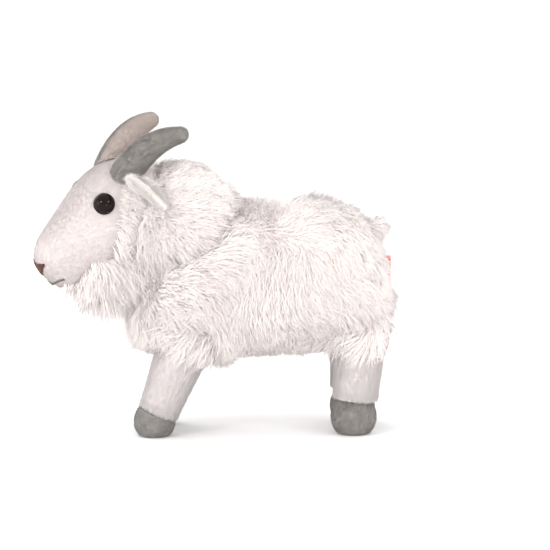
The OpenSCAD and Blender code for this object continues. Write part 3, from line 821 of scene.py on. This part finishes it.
def beard(skin_tree):
    """Long pile under the jaw, hanging down and a little back."""
    rng = np.random.default_rng(51)
    place, normal, size = [], [], []
    while len(place) < BEARD_STRANDS:
        x, y = rng.uniform(-17, 17), rng.uniform(-34, 8)
        hit, out = on_skin(skin_tree, at_head([x, y, -70]), head_way([0, 0, 1]))
        if hit is None:
            continue
        at = in_head(hit / MM)
        # only from the jaw's underside, thinning out towards the mouth
        front = min(max((-14 - at[1]) / 14, 0), 1)
        if at[2] > -20 or out @ head_way([0, 0, -1]) < 0.15 + 0.5 * front or rng.random() < 0.75 * front:
            continue
        place.append(hit)
        normal.append(out)
        size.append(1 - 0.4 * abs(x) / 17)
    place, normal, size = np.array(place), np.array(normal), np.array(size)
    y = in_head(place / MM)[:, 1]
    length = (4 + 17 * np.clip((y + 36) / 16, 0, 1) + 33 * np.clip((y + 20) / 14, 0, 1)) * size
    length = length * rng.uniform(0.7, 1.05, len(length))
    flow = np.tile(head_way([0, 0.15, -1]), (len(place), 1))
    flow = flow - head_way([1, 0, 0]) * (place[:, :1] / MM * 0.006)
    # hanging pile shows its sides, whichever way its roots face
    at = in_head(place / MM)
    facing = unit(normal * 0.4 + head_way([1, 0, 0]) * (at[:, :1] / 10) + head_way([0, -0.35, 0]))
    long_fur("beard_fur", place, normal, flow, length, LONG, "head", 52,
             facing=facing, lift=0.35, lock_size=24, clump=0.5, replaces=("beard",))


# ---------- horns, ears, legs, tail ----------

def store(obj, name, values):
    """Keeps one number per point, for a material to read."""
    stored = obj.data.attributes.new(name, "FLOAT", "POINT")
    stored.data.foreach_set("value", values.astype(np.float32))


def horn_outward(s):
    return unit(head_way([s, -0.25, -0.1]))


def painted_light_inside(obj, s):
    """Marks how far each point of a horn looks outward. The cloth is grey outside; inside it is painted paler,
    painted light for the backlight on the far horn.
    """
    normals = np.empty(len(obj.data.vertices) * 3)
    obj.data.vertices.foreach_get("normal", normals)
    store(obj, "outer_side", np.clip(0.5 + 1.6 * (normals.reshape(-1, 3) @ horn_outward(s) + 0.1), 0, 1))


def horns():
    for side, s in SIDES.items():
        skin = form(f"horn_skin_{side}", [f"horn_cover_{side}", f"horn_stuffing_{side}"], 1.0, 4, -0.35)
        skin = finer(stuffed(skin, 0.5))
        painted_light_inside(skin, s)
        out = horn_outward(s)
        way = head_way([s * 0.3, 0.55, 0.75])
        # the inner pile takes the paler colour: painted light
        for name, grey in (("outer", True), ("inner", False)):
            pile = short_pile(f"horn_pile_{name}_{side}", skin, *HORN_PILE, way, HORN, "head", "horn_pile",
                              61 + (s > 0), lambda p, normal: (normal @ out > -0.1) == grey)
            for piece in pile:
                store(piece, "outer_side", np.full(len(piece.data.vertices), float(grey)))
        show(skin, HORN, "head", (f"horn_cover_{side}",))


# each ear's root and tip, in millimetres
EARS = {"left": (np.array([24.9, -47.9, 142.1]), np.array([46, -28.5, 131.5])),
        "right": (np.array([-23.9, -58.3, 143.6]), np.array([-46, -39.5, 134]))}


def ears():
    for side, s in SIDES.items():
        body = f"ear_{side}"
        outer = finer(form(f"ear_skin_{side}", [f"ear_outer_{side}"], 0.5, 3))
        inner = form(f"ear_lining_skin_{side}", [f"ear_lining_{side}"], 0.45, 2)
        way = [s * 0.6, 0.6, -0.4]
        # the ear's pile and skin take the paler cream: partly its own colour, partly painted light
        short_pile(f"ear_pile_{side}", outer, *EAR_PILE, way, EAR_PAINTED_LIGHT, body, "ear_pile", 71 + (s > 0),
                   skin_share=0.5)
        rng = np.random.default_rng(75 + (s > 0))
        place, normal = scattered(*arrays(outer.data), EAR_STRANDS, rng)
        root, tip = EARS[side]
        along = ((place / MM - root) @ unit(tip - root)) / np.linalg.norm(tip - root)
        here = along < 0.1 + 0.65 * rng.random(len(place))
        place, normal, along = place[here], normal[here], along[here]
        long_fur(f"ear_tuft_{side}", place, normal, np.tile(unit(tip - root), (len(place), 1)),
                 (9 - 6 * np.clip(along, 0, 1)) * rng.uniform(0.7, 1.1, len(place)), LONG, body,
                 77 + (s > 0), lift=0.5, curl_mm=1.0)
        show(outer, EAR_PAINTED_LIGHT, body, (f"ear_outer_{side}",))
        show(inner, LINING, body, (f"ear_lining_{side}",))


def skirt(end, side, sleeve, torso_tree, seed):
    """Long pile at the top of a leg, where the body's fur runs over it."""
    top, axis = LEGS[end, side][:2]
    rng = np.random.default_rng(seed)
    place, normal = scattered(*arrays(sleeve.data), SKIRT_STRANDS, rng)
    rel = place / MM - top
    along = rel @ axis
    open_air = []
    for point in place:
        hit, out, _, _ = torso_tree.find_nearest(Vector(point))
        open_air.append((Vector(point) - hit).dot(out) > -0.5 * MM)
    here = np.array(open_air) & (along < 8 + 8 * rng.random(len(place)) ** 2)
    place, normal, along = place[here], normal[here], along[here]
    rear = np.clip((place[:, 1] / MM - 84) / 8, 0, 1)
    length = np.clip(20 - along, 5, 22) * (1 - 0.5 * rear) * rng.uniform(0.6, 1.15, len(place))
    flow = np.tile(axis + np.array([0, 0, -0.25]), (len(place), 1))
    long_fur(f"{end}_skirt_{side}", place, normal, flow, length, LONG, f"{end}_leg_{side}", seed,
             lift=0.6 - 0.35 * rear)


def legs(torso_tree):
    for (end, side), (top, axis, down, radius, seam) in LEGS.items():
        body = f"{end}_leg_{side}"
        seed = 80 + 10 * (end == "fore") + (side == "left")
        sleeve = form(f"{end}_sleeve_{side}", [f"{end}_leg_cover_{side}"], 1.6, 4, -0.6)
        sleeve = finer(stuffed(sleeve, 0.8))

        def keep(p, normal):
            rel = p - top
            along = rel @ axis
            out = dot(normal, rel - along[:, None] * axis)[:, 0]
            return (along > 6) & (out > 0)

        short_pile(f"{end}_pile_{side}", sleeve, *LEG_PILE, axis, SHORT, body, "short_pile", seed, keep)
        skirt(end, side, sleeve, torso_tree, seed + 40)
        short_pile(f"{end}_cuff_{side}", sleeve, *CUFF_PILE, axis, SHORT, body, "short_pile", seed + 60,
                   lambda p, normal: ((p - top) @ axis > seam - 5.5) & (normal @ axis < 0.5), lean=1.6)
        show(sleeve, SHORT, body, (f"{end}_leg_cover_{side}",))

        shoe = form(f"{end}_shoe_{side}", [f"{end}_hoof_{side}"], 1.0, 3, 0.1)
        co = arrays(shoe.data)[0]
        # the toe is drawn in along the cleft, and dimpled where the thread goes in
        rel = co / MM - (top + axis * down)
        ahead = np.array([0, axis[2], -axis[1]])
        front = np.clip(rel @ ahead / radius, 0, 1)
        groove = np.exp(-(rel[:, 0] / 1.6) ** 2) * np.clip((rel @ -axis + 7) / 3, 0, 1) * front ** 2
        co -= unit(rel) * (groove * 1.3 * MM)[:, None]
        put_points(shoe.data, co)
        shoe = finer(shoe)
        short_pile(f"{end}_hoof_pile_{side}", shoe, *HOOF_PILE, axis, HOOF, body, "hoof_pile", seed + 4,
                   lambda p, normal: p[:, 2] > 0.9)
        show(shoe, HOOF, body, (f"{end}_hoof_{side}",))


def tail():
    skin = form("tail_skin", ["tail_cover", "tail_stuffing"], 0.9, 3, -1.2)
    rng = np.random.default_rng(91)
    place, normal = scattered(*arrays(skin.data), TAIL_STRANDS, rng)
    slope = math.radians(58)
    way = np.array([0, math.sin(slope), math.cos(slope)])
    flow = np.tile(way * 0.35 + np.array([0, 0.45, -0.85]), (len(place), 1))
    flow = flow + rng.normal(size=place.shape) * 0.3
    length = rng.uniform(5, 10, len(place))
    long_fur("tail_fur", place, normal, flow, length, LONG, "tail", 92, lift=0.7, lock_size=24)
    show(skin, BACKING_PAINTED_SHADE, "tail", ("tail_cover",))


studio()
cad_looks()
torso_tree = torso()
neck(torso_tree)
head_tree = head()
beard(head_tree)
horns()
ears()
legs(torso_tree)
tail()
